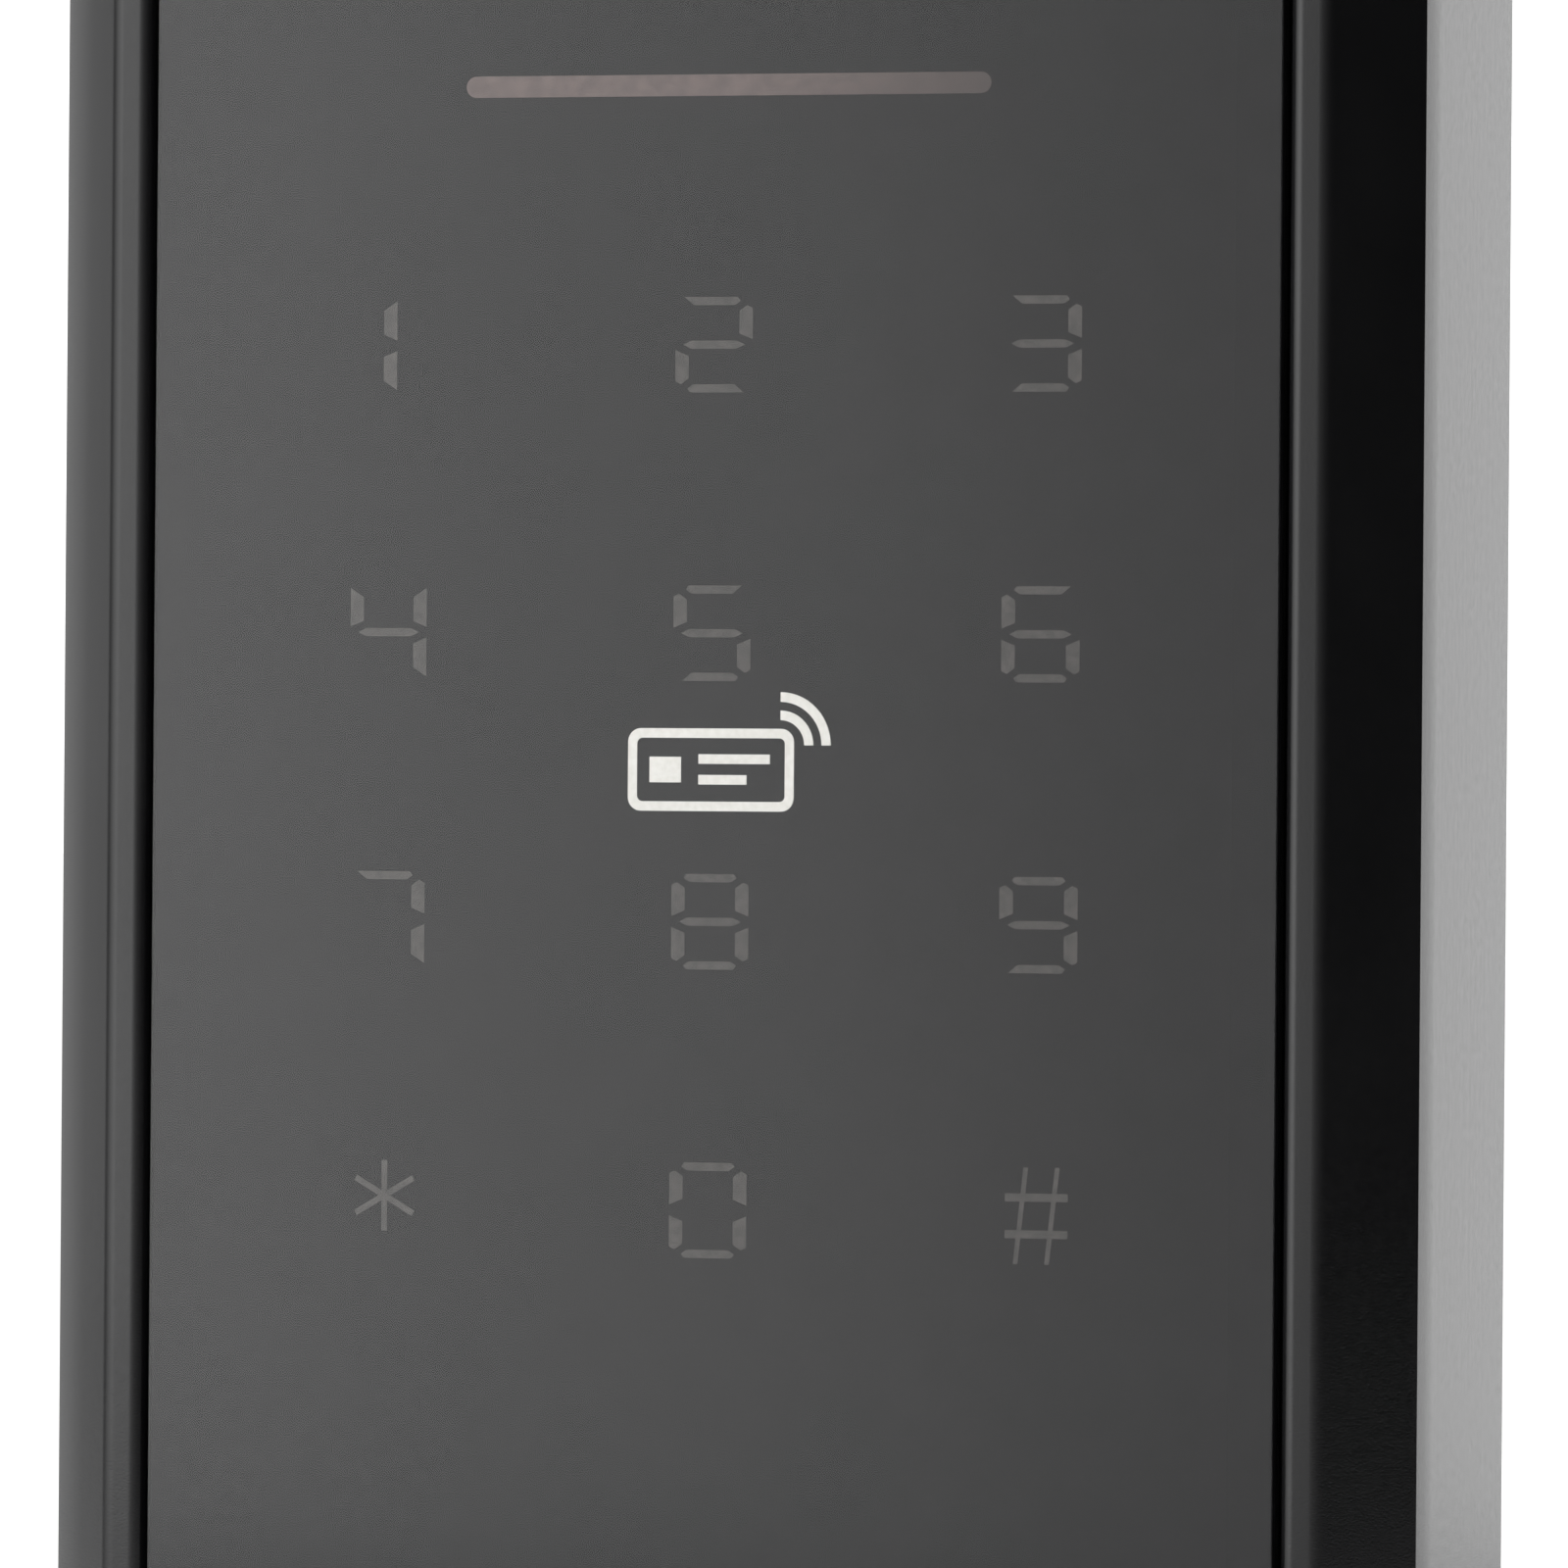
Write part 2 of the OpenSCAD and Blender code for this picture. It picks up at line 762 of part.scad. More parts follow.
module rear_cover() {
    color("#404246") difference() {
        union() {
            layer(cover_back, cover_front) cover_outline(0.2);
            rod(tamper_x, tamper_z, guide_r, cover_back, 7.1);
            rod(reset_x, reset_z, guide_r, cover_back, 7.9);
        }
        at_four(boss_x, boss_z) rod(0, 0, cover_screw_r + 0.15, cover_back - 1, cover_front + 1);
        brick(0, block_z, block_w + 0.6, block_h + 0.6, cover_back - 1, cover_front + 1);
        rod(tamper_x, tamper_z, plunger_r + 0.06, cover_back - 1, 8);
        rod(reset_x, reset_z, button_r + 0.06, cover_back - 1, 9);
        sound_holes();
    }
}

module housing_seal() {
    color("#232324") layer(cover_front, seal_front) difference() {
        cover_outline(0.3);
        cover_outline(1.8);
    }
}

module cover_screws() {
    color("#b4b7bb") at_four(boss_x, boss_z) difference() {
        union() {
            rod(0, 0, 2.25, cover_back - 1.4, cover_back);
            rod(0, 0, cover_screw_r, cover_back - 0.5, cover_front + 5);
        }
        rod(0, 0, 0.9, cover_back - 2, cover_back - 0.6, $fn = 6);
    }
}

module threaded_inserts() {
    color("#c9a54c") at_four(boss_x, boss_z) difference() {
        rod(0, 0, insert_r, cover_front + 0.2, cover_front + 6);
        rod(0, 0, cover_screw_r + fit, cover_front - 1, cover_front + 7);
    }
}

// Countersunk, with a hex socket and a centre peg that a plain key won't fit
module security_screw() {
    color("#9a9da1") translate([0, -lock_d, -body_h / 2]) difference() {
        union() {
            translate([0, 0, 0.06]) cylinder(h = 1.2, r1 = 2.8, r2 = screw_r);
            translate([0, 0, 0.5]) cylinder(h = 6.4, r = screw_r);
        }
        difference() {
            translate([0, 0, -1]) cylinder(h = 2, r = 1.15, $fn = 6);
            cylinder(h = 2, r = 0.4);
        }
    }
}

module captive_nut() {
    color("#b9bcc0") translate([0, -lock_d, holder_z + holder_lip]) difference() {
        translate([-nut_w / 2, -nut_w / 2, 0.05]) cube([nut_w, nut_w, nut_t]);
        cylinder(h = 6, r = screw_r + fit);
    }
}

// ---- Moving pieces ----

module tamper_plunger() {
    collar_back = 7.1 + 0.1 + tamper_travel;
    color("#e8e8e4") {
        rod(tamper_x, tamper_z, plunger_r, 0.05, collar_back + 0.3);
        rod(tamper_x, tamper_z, collar_r, collar_back, collar_back + 0.6);
        rod(tamper_x, tamper_z, 0.9, collar_back + 0.3, collar_back + 2.3);
    }
}

module reset_button() {
    color("#c43a2f") {
        rod(reset_x, reset_z, button_r, cover_back + 0.5, 8.3);
        rod(reset_x, reset_z, 2.2, 8, 8.6);
        rod(reset_x, reset_z, 1, 8.3, 10);
    }
}

wall_plate();
wall_gasket();
front_frame();
touch_panel();
card_mark();
panel_adhesive();
legend_mask();
key_legends();
light_bar_lens();
diffuser_sheet();
touch_board();
touch_electrodes();
key_light_box();
antenna_coil();
ferrite_sheet();
main_board();
key_leds();
bar_leds();
controller_chip();
reader_chip();
crystal();
door_relay();
capacitors();
power_coil();
buzzer();
board_link();
terminal_block();
terminal_screws();
tamper_switch();
tamper_spring();
reset_switch();
board_screws();
rear_cover();
housing_seal();
cover_screws();
threaded_inserts();
security_screw();
captive_nut();
tamper_plunger();
reset_button();
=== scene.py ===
from math import ceil, cos, pi, radians, sin, tan

import bpy
import bmesh
from mathutils import Matrix, Vector


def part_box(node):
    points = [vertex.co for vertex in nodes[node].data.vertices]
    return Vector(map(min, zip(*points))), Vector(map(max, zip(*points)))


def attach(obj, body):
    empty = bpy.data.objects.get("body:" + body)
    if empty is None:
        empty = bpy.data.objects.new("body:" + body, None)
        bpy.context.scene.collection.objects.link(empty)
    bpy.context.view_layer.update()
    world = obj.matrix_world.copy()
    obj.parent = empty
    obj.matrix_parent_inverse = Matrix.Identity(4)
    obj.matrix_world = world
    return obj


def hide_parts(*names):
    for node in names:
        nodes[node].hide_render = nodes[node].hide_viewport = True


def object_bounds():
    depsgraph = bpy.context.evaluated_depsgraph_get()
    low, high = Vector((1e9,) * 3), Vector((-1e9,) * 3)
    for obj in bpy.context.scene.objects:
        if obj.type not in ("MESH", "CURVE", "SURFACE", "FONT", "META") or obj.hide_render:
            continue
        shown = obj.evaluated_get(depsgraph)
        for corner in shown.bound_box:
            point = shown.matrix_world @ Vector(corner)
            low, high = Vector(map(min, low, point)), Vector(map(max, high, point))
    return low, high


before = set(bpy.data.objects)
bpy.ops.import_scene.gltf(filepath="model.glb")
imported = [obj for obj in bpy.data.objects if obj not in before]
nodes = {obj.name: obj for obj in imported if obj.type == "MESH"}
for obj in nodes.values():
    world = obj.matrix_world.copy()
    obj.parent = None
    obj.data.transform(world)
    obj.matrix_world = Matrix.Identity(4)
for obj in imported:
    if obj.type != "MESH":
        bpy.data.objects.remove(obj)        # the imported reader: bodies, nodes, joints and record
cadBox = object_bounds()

scene = bpy.context.scene
mm = 0.001               # the shapes below are given in millimetres
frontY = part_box("front_frame")[0].y          # plane of the face
frontDepth = -frontY / mm
print("frame loaded:", len(nodes), "nodes")

cameraLook = {
    "yaw": 18.52,            # degrees round to the reader's right
    "pitch": 0.07,
    "roll": 0.43,
    "lens": 315.9,
    "sensor": 36,
    "distance": 713.3,
    "target": (4.2, -2.31),      # across and up, on the plane of the face
}


def addCamera(look):
    yaw, pitch, roll = (radians(look[key]) for key in ("yaw", "pitch", "roll"))
    ahead = Vector((-sin(yaw) * cos(pitch), cos(yaw) * cos(pitch), sin(pitch)))
    level = Vector((cos(yaw), sin(yaw), 0))
    upright = level.cross(ahead)
    across = cos(roll) * level + sin(roll) * upright
    up = cos(roll) * upright - sin(roll) * level
    lens = bpy.data.cameras.new("studioCamera")
    lens.lens = look["lens"]
    lens.sensor_width = look["sensor"]
    lens.clip_start = 0.01
    camera = bpy.data.objects.new("studioCamera", lens)
    scene.collection.objects.link(camera)
    x, z = look["target"]
    target = Vector((x * mm, frontY, z * mm))
    turn = Matrix((across, up, -ahead)).transposed().to_4x4()
    camera.matrix_world = Matrix.Translation(target - ahead * look["distance"] * mm) @ turn
    scene.camera = camera


addCamera(cameraLook)
print("camera placed")


def addNode(tree, kind, inputs=None, **settings):
    node = tree.nodes.new(kind)
    for key, value in settings.items():
        setattr(node, key, value)
    for key, value in (inputs or {}).items():
        if isinstance(value, bpy.types.NodeSocket):
            tree.links.new(value, node.inputs[key])
        else:
            node.inputs[key].default_value = value
    return node


def newSurface(name, **sockets):
    # a material with its Principled shader; sockets are values that hold all over the surface
    surface = bpy.data.materials.new(name)
    surface.use_nodes = True
    tree = surface.node_tree
    shader = tree.nodes["Principled BSDF"]
    for key, value in sockets.items():
        shader.inputs[key].default_value = value
    return surface, tree, shader


def place(tree, stretch=(1, 1, 1)):
    # object coordinates in millimetres, squeezed along each axis by stretch
    coords = addNode(tree, "ShaderNodeTexCoord").outputs["Object"]
    scale = [1 / (mm * part) for part in stretch]
    return addNode(tree, "ShaderNodeMapping", {"Vector": coords, "Scale": scale}).outputs[0]


def noise(tree, size, detail=2, stretch=(1, 1, 1)):
    # soft noise whose blotches are about size millimetres across
    return addNode(tree, "ShaderNodeTexNoise",
                   {"Vector": place(tree, stretch), "Scale": 1 / size, "Detail": detail}).outputs[0]


def cells(tree, size, feature="F1"):
    return addNode(tree, "ShaderNodeTexVoronoi", {"Vector": place(tree), "Scale": 1 / size},
                   feature=feature).outputs["Distance"]


def spread(tree, value, low, high, start=0.35, end=0.65):
    # maps the middle of a noise onto low..high
    return addNode(tree, "ShaderNodeMapRange", {"Value": value, "From Min": start, "From Max": end,
                                                "To Min": low, "To Max": high}).outputs[0]


def blendColours(tree, share, first, second):
    mix = addNode(tree, "ShaderNodeMix", data_type="RGBA")
    for socket, value in ((mix.inputs[0], share), (mix.inputs[6], first), (mix.inputs[7], second)):
        if isinstance(value, bpy.types.NodeSocket):
            tree.links.new(value, socket)
        else:
            socket.default_value = (*value, 1) if isinstance(value, tuple) else value
    return mix.outputs[2]


def calculate(tree, operation, *values):
    node = addNode(tree, "ShaderNodeMath", operation=operation)
    for socket, value in zip(node.inputs, values):
        if isinstance(value, bpy.types.NodeSocket):
            tree.links.new(value, socket)
        else:
            socket.default_value = value
    return node.outputs[0]


def relief(tree, shader, height, depth, strength=1.0, under=None):
    # bump of depth millimetres, on top of an earlier bump if one is given
    inputs = {"Height": height, "Distance": depth * mm, "Strength": strength}
    if under is not None:
        inputs["Normal"] = under
    bump = addNode(tree, "ShaderNodeBump", inputs).outputs[0]
    tree.links.new(bump, shader.inputs["Normal"])
    return bump


def wornEdges(tree, start=0.52, end=0.6):
    # 0 on the flats, rising to 1 where handling has rubbed the edges
    sharpness = addNode(tree, "ShaderNodeNewGeometry").outputs["Pointiness"]
    return spread(tree, sharpness, 0, 1, start, end)


def rimDistance(tree, name):
    # how far a spot lies from the piece's outline seen from the front, negative inwards
    corners = nodes[name].bound_box
    spot = addNode(tree, "ShaderNodeSeparateXYZ",
                   {"Vector": addNode(tree, "ShaderNodeTexCoord").outputs["Object"]})
    reach = []
    for axis in (0, 2):
        low, high = corners[0][axis], corners[6][axis]
        offset = calculate(tree, "SUBTRACT", spot.outputs[axis], (low + high) / 2)
        reach.append(calculate(tree, "SUBTRACT", calculate(tree, "ABSOLUTE", offset), (high - low) / 2))
    return calculate(tree, "MAXIMUM", *reach)


def rubbedRim(tree, name, width=0.7):
    # the same for a large flat piece: a ragged pale line, width millimetres wide, along its outline
    ragged = calculate(tree, "MULTIPLY_ADD", noise(tree, 1.5, 4), width * mm, rimDistance(tree, name))
    return spread(tree, ragged, 0, 1, -0.2 * width * mm, 0.5 * width * mm)


def plainSurface(name, look):
    # the usual make-up: two tones, uneven gloss, a fine relief and paler rubbed edges, and where asked a
    # painted shade that darkens the colour across the piece
    surface, tree, shader = newSurface(name, **look.get("fixed", {}))
    blotch = noise(tree, look["blotch"], 3)
    colour = blendColours(tree, spread(tree, blotch, 0, 1), look["dark"], look["light"])
    wear = rubbedRim(tree, look["rim"]) if "rim" in look else wornEdges(tree)
    rub = calculate(tree, "MULTIPLY", wear, look.get("rub", 0.25))
    paler = tuple(min(1, 1.8 * part + 0.02) for part in look["light"])
    colour = blendColours(tree, rub, colour, paler)
    # painted shade: the colour darkens across X between two places, standing in for light that falls off
    # along the piece
    if "paintedShade" in look:
        start, end, least = look["paintedShade"]
        across = addNode(tree, "ShaderNodeSeparateXYZ", {"Vector": place(tree)}).outputs[0]
        shadedTone = tuple(least * part for part in look["dark"])
        colour = blendColours(tree, spread(tree, across, 0, 1, start, end), colour, shadedTone)
    tree.links.new(colour, shader.inputs["Base Color"])
    low, high = look["rough"]
    tree.links.new(spread(tree, noise(tree, 1.7, 4), low, high), shader.inputs["Roughness"])
    relief(tree, shader, noise(tree, look["grain"], 2), look["depth"])
    return surface


def paint(surface, *names):
    for name in names:
        piece = nodes[name] if isinstance(name, str) else name
        piece.data.materials.clear()
        piece.data.materials.append(surface)


def softenEdges(name, width, segments=2, angle=35):
    # rounds the sharp edges of a CAD piece with modifiers, so that they catch the light
    piece = nodes[name]
    weld = piece.modifiers.new("weld", "WELD")
    weld.merge_threshold = 0.001 * mm
    flat = piece.modifiers.new("flat", "DECIMATE")
    flat.decimate_type = "DISSOLVE"
    flat.angle_limit = radians(0.5)
    edge = piece.modifiers.new("edge", "BEVEL")
    edge.width = width * mm
    edge.segments = segments
    edge.limit_method = "ANGLE"
    edge.angle_limit = radians(angle)
    tidy = piece.modifiers.new("tidy", "WEIGHTED_NORMAL")
    tidy.keep_sharp = True


def makeObject(name, form):
    mesh = bpy.data.meshes.new(name)
    bmesh.ops.recalc_face_normals(form, faces=form.faces)
    form.to_mesh(mesh)
    form.free()
    piece = bpy.data.objects.new(name, mesh)
    scene.collection.objects.link(piece)
    return piece


def roundLoop(halfW, halfH, radius, steps):
    # points round a rectangle with round corners, in X and Z
    points = []
    for index, (sideX, sideZ) in enumerate(((1, 1), (-1, 1), (-1, -1), (1, -1))):
        for step in range(steps + 1):
            turn = pi / 2 * (index + step / steps)
            points.append((sideX * (halfW - radius) + radius * cos(turn),
                           sideZ * (halfH - radius) + radius * sin(turn)))
    return points


def filletPath(corners, stepAngle=7):
    # corners are (inset, depth, radius); each is rounded where the closed path turns
    path = []
    for index, (inset, depth, radius) in enumerate(corners):
        here = Vector((inset, depth))
        back = Vector(corners[index - 1][:2]) - here
        ahead = Vector(corners[(index + 1) % len(corners)][:2]) - here
        turn = pi - back.angle(ahead)
        if radius == 0 or turn < 0.001:
            path.append(here)
            continue
        reach = radius * tan(turn / 2)
        start = here + back.normalized() * reach
        side = (back.normalized() + ahead.normalized()).normalized()
        centre = here + side * (radius / cos(turn / 2))
        steps = max(2, ceil(turn / radians(stepAngle)))
        spin = turn if back.cross(ahead) < 0 else -turn
        for step in range(steps + 1):
            a = spin * step / steps
            arm = start - centre
            path.append(centre + Vector((arm.x * cos(a) - arm.y * sin(a),
                                         arm.x * sin(a) + arm.y * cos(a))))
    return path


def sweepRing(name, path, halfW, halfH, cornerAt, steps=24):
    # carries a closed profile round the outline; each profile point is (inset, depth)
    form = bmesh.new()
    loops = []
    for inset, depth in path:
        outline = roundLoop(halfW - inset, halfH - inset, cornerAt(inset), steps)
        loops.append([form.verts.new((x * mm, -depth * mm, z * mm)) for x, z in outline])
    for index, loop in enumerate(loops):
        following = loops[(index + 1) % len(loops)]
        for i in range(len(loop)):
            j = (i + 1) % len(loop)
            form.faces.new((loop[i], loop[j], following[j], following[i]))
    return makeObject(name, form)


def brick(name, low, high):
    # a block between two corners given as (x, depth, z)
    form = bmesh.new()
    size = [abs(b - a) * mm for a, b in zip(low, high)]
    middle = Vector(((low[0] + high[0]) / 2, -(low[1] + high[1]) / 2, (low[2] + high[2]) / 2)) * mm
    bmesh.ops.create_cube(form, size=1, matrix=Matrix.Translation(middle) @ Matrix.Diagonal((*size, 1)))
    return makeObject(name, form)


def rod(name, centre, axis, radius, length, endRadius=None, segments=48):
    # a round bar or cone; centre is (x, depth, z) and axis is a direction in X, Y, Z
    form = bmesh.new()
    turn = Vector((0, 0, 1)).rotation_difference(Vector(axis)).to_matrix().to_4x4()
    middle = Vector((centre[0], -centre[1], centre[2])) * mm
    bmesh.ops.create_cone(form, cap_ends=True, segments=segments, radius1=radius * mm,
                          radius2=(radius if endRadius is None else endRadius) * mm,
                          depth=length * mm, matrix=Matrix.Translation(middle) @ turn)
    return makeObject(name, form)


def combine(piece, parts, operation):
    # joins or cuts with closed shapes, then removes them
    helpers = bpy.data.collections.new("helpers")
    scene.collection.children.link(helpers)
    for part in parts:
        scene.collection.objects.unlink(part)
        helpers.objects.link(part)
    step = piece.modifiers.new("combine", "BOOLEAN")
    step.operation = operation
    step.operand_type = "COLLECTION"
    step.collection = helpers
    step.solver = "EXACT"
    graph = bpy.context.evaluated_depsgraph_get()
    mesh = bpy.data.meshes.new_from_object(piece.evaluated_get(graph))
    piece.modifiers.clear()
    piece.data = mesh
    for part in parts:
        bpy.data.objects.remove(part)
    bpy.data.collections.remove(helpers)


def smoothShade(piece, angle=32):
    piece.data.polygons.foreach_set("use_smooth", [True] * len(piece.data.polygons))
    piece.data.set_sharp_from_angle(angle=radians(angle))
    tidy = piece.modifiers.new("tidy", "WEIGHTED_NORMAL")
    tidy.keep_sharp = True


frameShape = {
    "corner": 7,             # corner radius of the outline
    "wall": 1.8,
    "bevelW": 4.3,           # bevel seen from the front
    "bevelD": 3.9,
    "crown": 0.09,           # how far the bevel stands proud of flat
    "crownAt": 0.33,         # share of the bevel from its outer edge
    "crownRadius": 25,
    "lean": 0.09,            # how far the flank's front edge leans in
    "leanRadius": 36,
    "leanStart": 1.35,       # behind the crease
    "ridge": 2.08,
    "ridgeOuter": 1.15,      # radius of the ridge's outer edge
    "ridgeInner": 0.85,
    "gap": 0.26,             # between the ridge and the glass
    "crease": 0.07,
    "skirt": 1.2,            # depth of the rear edge
    "grooveFloor": 19.2,
    "seat": 20.55,           # depth of the face that the glass is taped to
    "ledgeBack": 18.5,
    "seatW": 2.0,
    "grooveSide": 0.2,       # the groove round the seat is this much wider than the gap
    "hollowStep": 2.5,       # the wall is thick as far as this behind the ledge
}
insideShape = {
    "bite": 0.5,             # how far joined shapes run into each other
    "coverBack": 5, "coverFront": 6.8, "sealFront": 7.4, "seatFront": 9.2, "boardFront": 13.9,
    "sealSeat": 2.1,         # width of the shelf under the seal
    "rib": {"top": -51.2, "thick": 1.5, "step": 2.4, "side": 0.45},
    "boss": {"across": 29.5, "heights": (49.5, -44.5), "radius": 3.2, "bore": 2.02, "boreDepth": 7},
    "post": {"across": 31, "heights": (28, -30), "radius": 1.8, "bore": 1.02, "boreDepth": 3},
    "pin": {"across": 20, "depth": 2.8, "height": 57, "radius": 0.9, "span": 8.6,
            "cheek": 1.5, "cheekHalf": 1.2, "cheekTop": 59},
    "lock": {"depth": 7.5, "low": -55.9, "wall": 1.5, "nutW": 5.5, "nutT": 2.3, "floor": 0.8,
             "play": 0.05, "screw": 1.65, "sinkRim": 2.91, "sinkEnd": 1.6, "sinkDepth": 1.31,
             "sinkAt": 0.65},
}


def ringProfile(shape, depth):
    crease = depth - shape["bevelD"]
    slope = Vector((shape["bevelW"], shape["bevelD"])).normalized()
    share = shape["crownAt"]
    middle = Vector((shape["bevelW"] * share, crease + shape["bevelD"] * share))
    middle += Vector((-slope.y, slope.x)) * shape["crown"]
    ridgeIn = shape["bevelW"] + shape["ridge"]
    seatOut = ridgeIn + shape["gap"] + shape["grooveSide"]
    seatIn = seatOut + shape["seatW"] - shape["grooveSide"]
    hollow = shape["bevelW"] - 0.2
    hollowEnd = shape["ledgeBack"] - shape["hollowStep"]
    return filletPath([      # inset, depth and radius of each corner, from the rear edge round
        (0, shape["skirt"], 0.3),
        (0, crease - shape["leanStart"], shape["leanRadius"]),
        (shape["lean"], crease, shape["crease"]),
        (middle.x, middle.y, shape["crownRadius"]),
        (shape["bevelW"], depth, shape["ridgeOuter"]),
        (ridgeIn, depth, shape["ridgeInner"]),
        (ridgeIn, shape["grooveFloor"], 0.1),
        (seatOut, shape["grooveFloor"], 0.1),
        (seatOut, shape["seat"], 0.08),
        (seatIn, shape["seat"], 0.15),
        (seatIn, shape["ledgeBack"], 0.15),
        (hollow, shape["ledgeBack"], 0.3),
        (hollow, hollowEnd, 0),
        (shape["wall"], hollowEnd, 0.3),
        (shape["wall"], shape["skirt"], 0.2),
    ])


def eachPillar(inner):
    # the screw bosses behind the cover and the posts behind the main board
    for pillar, start in ((inner["boss"], inner["coverFront"]), (inner["post"], inner["boardFront"])):
        for side in (-1, 1):
            for z in pillar["heights"]:
                yield pillar, start, side * pillar["across"], z


def insideParts(inner, halfW):
    # bosses, posts, the rib over the lock, the nut holder and the hinge pins
    parts = []
    bite = inner["bite"]
    ledge = frameShape["ledgeBack"]
    for pillar, start, x, z in eachPillar(inner):
        length = ledge + bite - start
        parts.append(rod("boss", (x, start + length / 2, z), (0, 1, 0), pillar["radius"], length))

    rib, lock, pin = inner["rib"], inner["lock"], inner["pin"]
    wallIn = halfW - frameShape["wall"] + bite
    ribLow = rib["top"] - rib["thick"]
    parts.append(brick("rib", (-wallIn, inner["coverBack"], ribLow),
                       (wallIn, ledge - rib["step"], rib["top"])))
    half = halfW - frameShape["bevelW"] + rib["side"]
    parts.append(brick("rib", (-half, inner["coverBack"] + 1, ribLow), (half, ledge + bite, rib["top"])))

    nut, wall, deep = lock["nutW"] / 2, lock["wall"], lock["depth"]
    parts.append(brick("holder", (-nut - wall, deep - nut, lock["low"]),
                       (nut + wall, deep + nut + wall, ribLow + bite)))

    cheek = pin["cheek"]
    for side in (-1, 1):
        x = side * pin["across"]
        parts.append(rod("pin", (x, pin["depth"], pin["height"]), (1, 0, 0),
                         pin["radius"], pin["span"] + 2 * cheek))
        for end in (-1, 1):
            middle = x + end * (pin["span"] + cheek) / 2
            parts.append(brick("cheek", (middle - cheek / 2, pin["depth"] - pin["cheekHalf"],
                                         pin["height"] - pin["radius"]),
                               (middle + cheek / 2, pin["depth"] + pin["cheekHalf"], pin["cheekTop"])))
    return parts


def seatRing(inner, halfW, halfH):
    # the narrow shelf inside the housing that the rear cover's seal presses on
    top, low = halfH - frameShape["wall"], inner["rib"]["top"]
    corner = frameShape["corner"] - frameShape["wall"]
    bite, width = inner["bite"], inner["sealSeat"]
    path = [(-bite, inner["sealFront"]), (-bite, inner["seatFront"]),
            (width, inner["seatFront"]), (width, inner["sealFront"])]
    ring = sweepRing("seat", path, halfW - frameShape["wall"], (top - low) / 2,
                     lambda inset: max(0.8, corner - inset), 16)
    ring.data.transform(Matrix.Translation((0, 0, (top + low) / 2 * mm)))
    return ring


def insideCuts(inner, halfH):
    # the screw bores, the slot for the nut and the sunk hole for the security screw
    cuts = []
    bite, lock = inner["bite"], inner["lock"]
    for pillar, start, x, z in eachPillar(inner):
        length = pillar["boreDepth"]
        cuts.append(rod("bore", (x, start + length / 2 - bite, z), (0, 1, 0), pillar["bore"], length + 1))
    slot, deep = lock["nutW"] / 2 + lock["play"], lock["depth"]
    low = lock["low"] + lock["floor"]
    cuts.append(brick("slot", (-slot, deep - slot - 3, low), (slot, deep + slot, low + lock["nutT"] + 0.1)))
    cuts.append(rod("screwWay", (0, deep, lock["low"] + 1), (0, 0, 1), lock["screw"], 6))
    cuts.append(rod("screwHole", (0, deep, 1 - halfH), (0, 0, 1), lock["screw"], 5))
    cuts.append(rod("sink", (0, deep, lock["sinkAt"] - halfH), (0, 0, 1),
                    lock["sinkRim"], lock["sinkDepth"], lock["sinkEnd"]))
    return cuts


def buildFrontFrame():
    low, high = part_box("front_frame")
    halfW, halfH = high.x / mm, high.z / mm
    corner = frameShape["corner"]

    def cornerAt(inset):
        return max(corner - inset, 0.4) if inset < corner else 1.0

    ring = sweepRing("frontFrame", ringProfile(frameShape, frontDepth), halfW, halfH, cornerAt)
    combine(ring, insideParts(insideShape, halfW) + [seatRing(insideShape, halfW, halfH)], "UNION")
    combine(ring, insideCuts(insideShape, halfH), "DIFFERENCE")
    smoothShade(ring)
    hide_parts("front_frame")
    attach(ring, "reader")
    return ring


frameFinish = {
    "dark": (0.0042, 0.0042, 0.0046),
    "light": (0.0062, 0.0062, 0.0066),
    "worn": (0.02, 0.02, 0.021),     # shows on the handled edges, as far as rub says
    "rub": 0.25,
    "rough": (0.19, 0.25),
    "blotch": 9,             # this and the other sizes are in millimetres
    "haze": 0.5,
    "grain": 0.11,
    "depth": 0.0042,
    "streak": 0.0022,        # height of the faint upright lines on the flanks
    "fixed": {"IOR": 1.43},
}


def framePlastic(look):
    surface, tree, shader = newSurface("satinBlackPlastic", **look["fixed"])
    tone = spread(tree, noise(tree, look["blotch"], 4), 0, 1)
    colour = blendColours(tree, tone, look["dark"], look["light"])
    rub = calculate(tree, "MULTIPLY", wornEdges(tree, 0.53, 0.64), look["rub"])
    tree.links.new(blendColours(tree, rub, colour, look["worn"]), shader.inputs["Base Color"])
    low, high = look["rough"]
    haze = noise(tree, look["haze"], 5)
    tree.links.new(spread(tree, haze, low, high, 0.3, 0.7), shader.inputs["Roughness"])
    lines = noise(tree, 1, 2, stretch=(0.5, 0.5, 60))
    under = relief(tree, shader, lines, look["streak"])
    pits = spread(tree, cells(tree, look["grain"] * 2.4), 0, 1, 0.0, 0.25)
    speckle = calculate(tree, "ADD", noise(tree, look["grain"], 3), calculate(tree, "MULTIPLY", pits, 0.5))
    relief(tree, shader, speckle, look["depth"], under=under)
    return surface


frontFrame = buildFrontFrame()
paint(framePlastic(frameFinish), frontFrame)
print("front frame built:", len(frontFrame.data.polygons), "faces")

